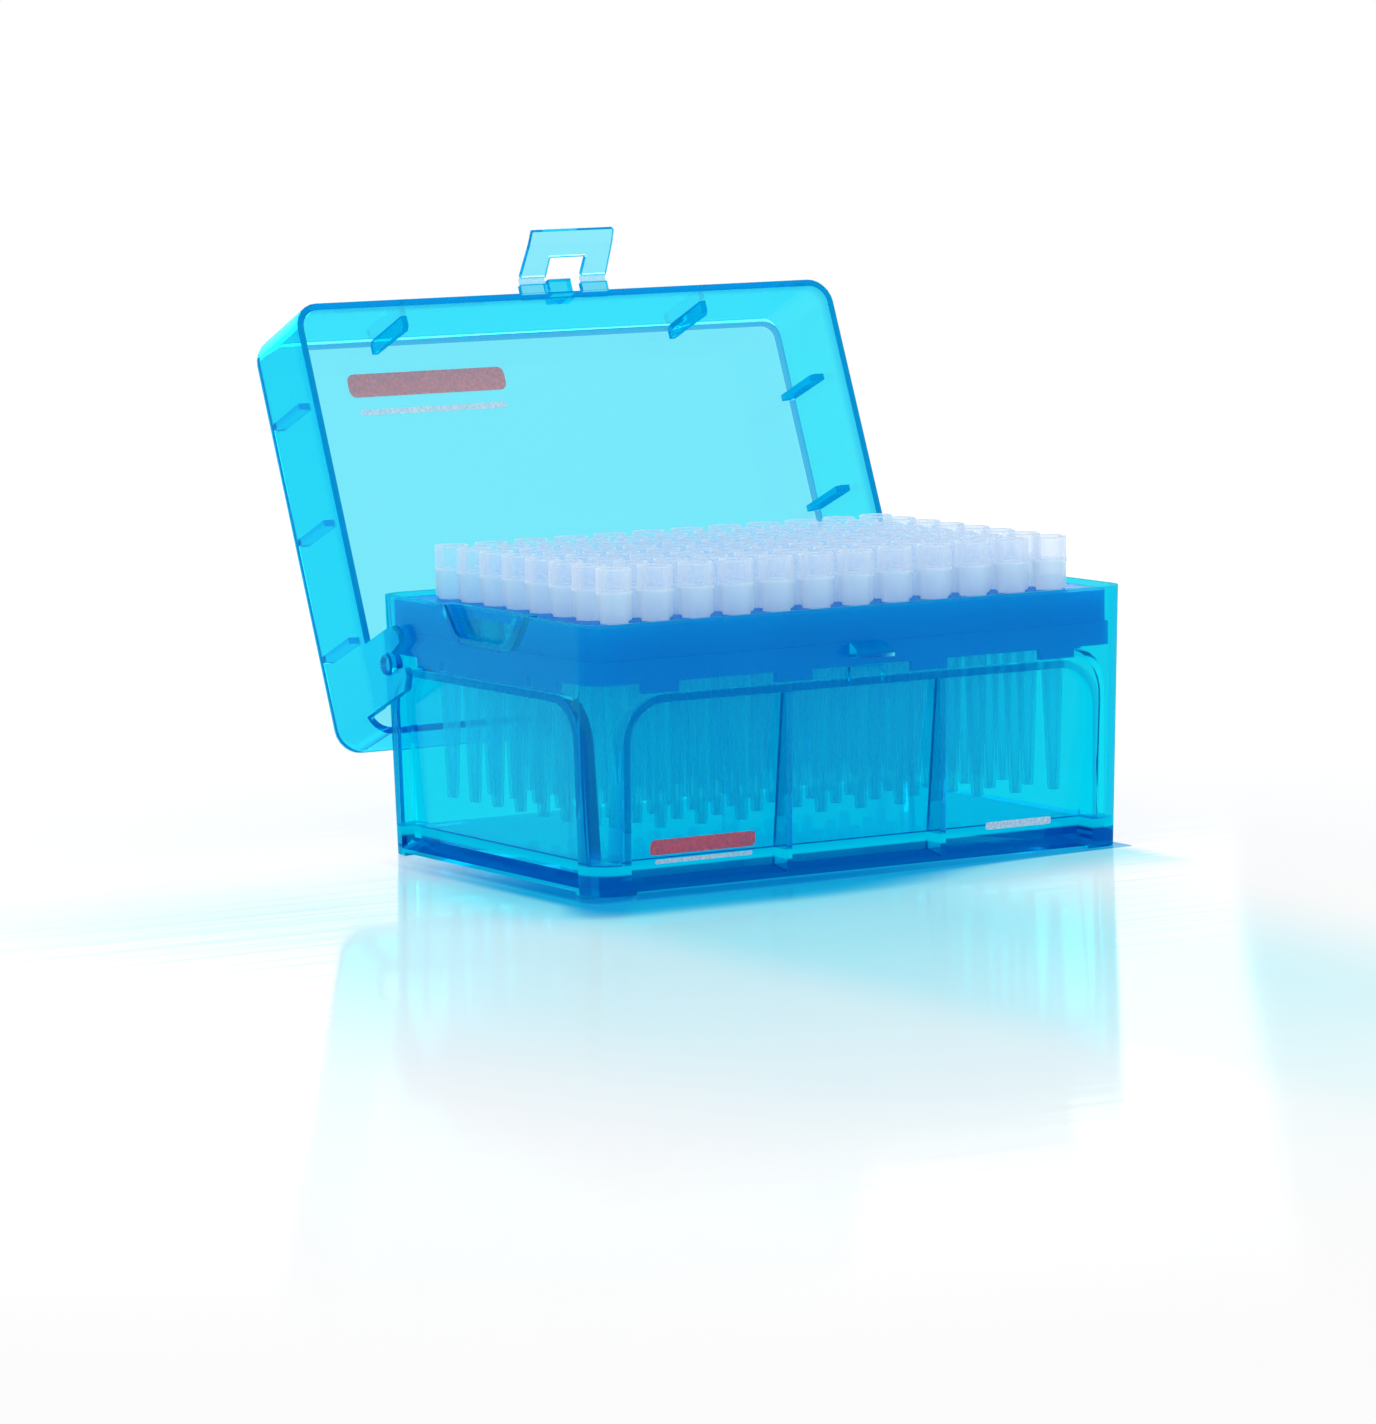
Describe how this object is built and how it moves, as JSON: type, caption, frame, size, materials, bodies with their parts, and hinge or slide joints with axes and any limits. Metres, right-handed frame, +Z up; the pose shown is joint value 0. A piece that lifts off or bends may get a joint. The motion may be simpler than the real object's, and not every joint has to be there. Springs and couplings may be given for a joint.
{
  "type": "pipette tip box",
  "caption": "Hinged box of translucent blue plastic with a latch, holding a lift-out rack of clear filtered pipette tips, lid open.",
  "frame": {"origin": "on the table, under the middle of the whole box with its lid open", "axes": "+X along the box, -Y to the front with the latch catch, +Z up"},
  "size_m": [0.128, 0.1362, 0.1205],
  "materials": {
    "blue_plastic": "translucent blue polypropylene, smooth",
    "clear_plastic": "natural polypropylene, slightly milky"
  },
  "bodies": {
    "base": {"base": "blue_plastic", "rack": "blue_plastic", "tip_H01": "clear_plastic", "tip_H02": "clear_plastic", "tip_H03": "clear_plastic", "tip_H04": "clear_plastic", "tip_H05": "clear_plastic", "tip_H06": "clear_plastic", "tip_H07": "clear_plastic", "tip_H08": "clear_plastic", "tip_H09": "clear_plastic", "tip_H10": "clear_plastic", "tip_H11": "clear_plastic", "tip_H12": "clear_plastic", "tip_G01": "clear_plastic", "tip_G02": "clear_plastic", "tip_G03": "clear_plastic", "tip_G04": "clear_plastic", "tip_G05": "clear_plastic", "tip_G06": "clear_plastic", "tip_G07": "clear_plastic", "tip_G08": "clear_plastic", "tip_G09": "clear_plastic", "tip_G10": "clear_plastic", "tip_G11": "clear_plastic", "tip_G12": "clear_plastic", "tip_F01": "clear_plastic", "tip_F12": "clear_plastic", "tip_E01": "clear_plastic", "tip_E12": "clear_plastic", "tip_D01": "clear_plastic", "tip_D12": "clear_plastic", "tip_C01": "clear_plastic", "tip_C12": "clear_plastic", "tip_B01": "clear_plastic", "tip_B02": "clear_plastic", "tip_B03": "clear_plastic", "tip_B04": "clear_plastic", "tip_B05": "clear_plastic", "tip_B06": "clear_plastic", "tip_B07": "clear_plastic", "tip_B08": "clear_plastic", "tip_B09": "clear_plastic", "tip_B10": "clear_plastic", "tip_B11": "clear_plastic", "tip_B12": "clear_plastic", "tip_A01": "clear_plastic", "tip_A02": "clear_plastic", "tip_A03": "clear_plastic", "tip_A04": "clear_plastic", "tip_A05": "clear_plastic", "tip_A06": "clear_plastic", "tip_A07": "clear_plastic", "tip_A08": "clear_plastic", "tip_A09": "clear_plastic", "tip_A10": "clear_plastic", "tip_A11": "clear_plastic", "tip_A12": "clear_plastic"},
    "lid": {"lid": "blue_plastic"},
    "latch": {"latch": "blue_plastic"}
  },
  "joints": [
    {"name": "lid_hinge", "type": "hinge", "parent": "base", "child": "lid", "pos_m": [0, 0.01145, 0.0382], "axis": [1, 0, 0], "range_deg": [0, 112.5]},
    {"name": "latch_fold", "type": "hinge", "parent": "lid", "child": "latch", "pos_m": [0, 0.05036, 0.10992], "axis": [1, 0, 0], "range_deg": [-60, 54]}
  ]
}
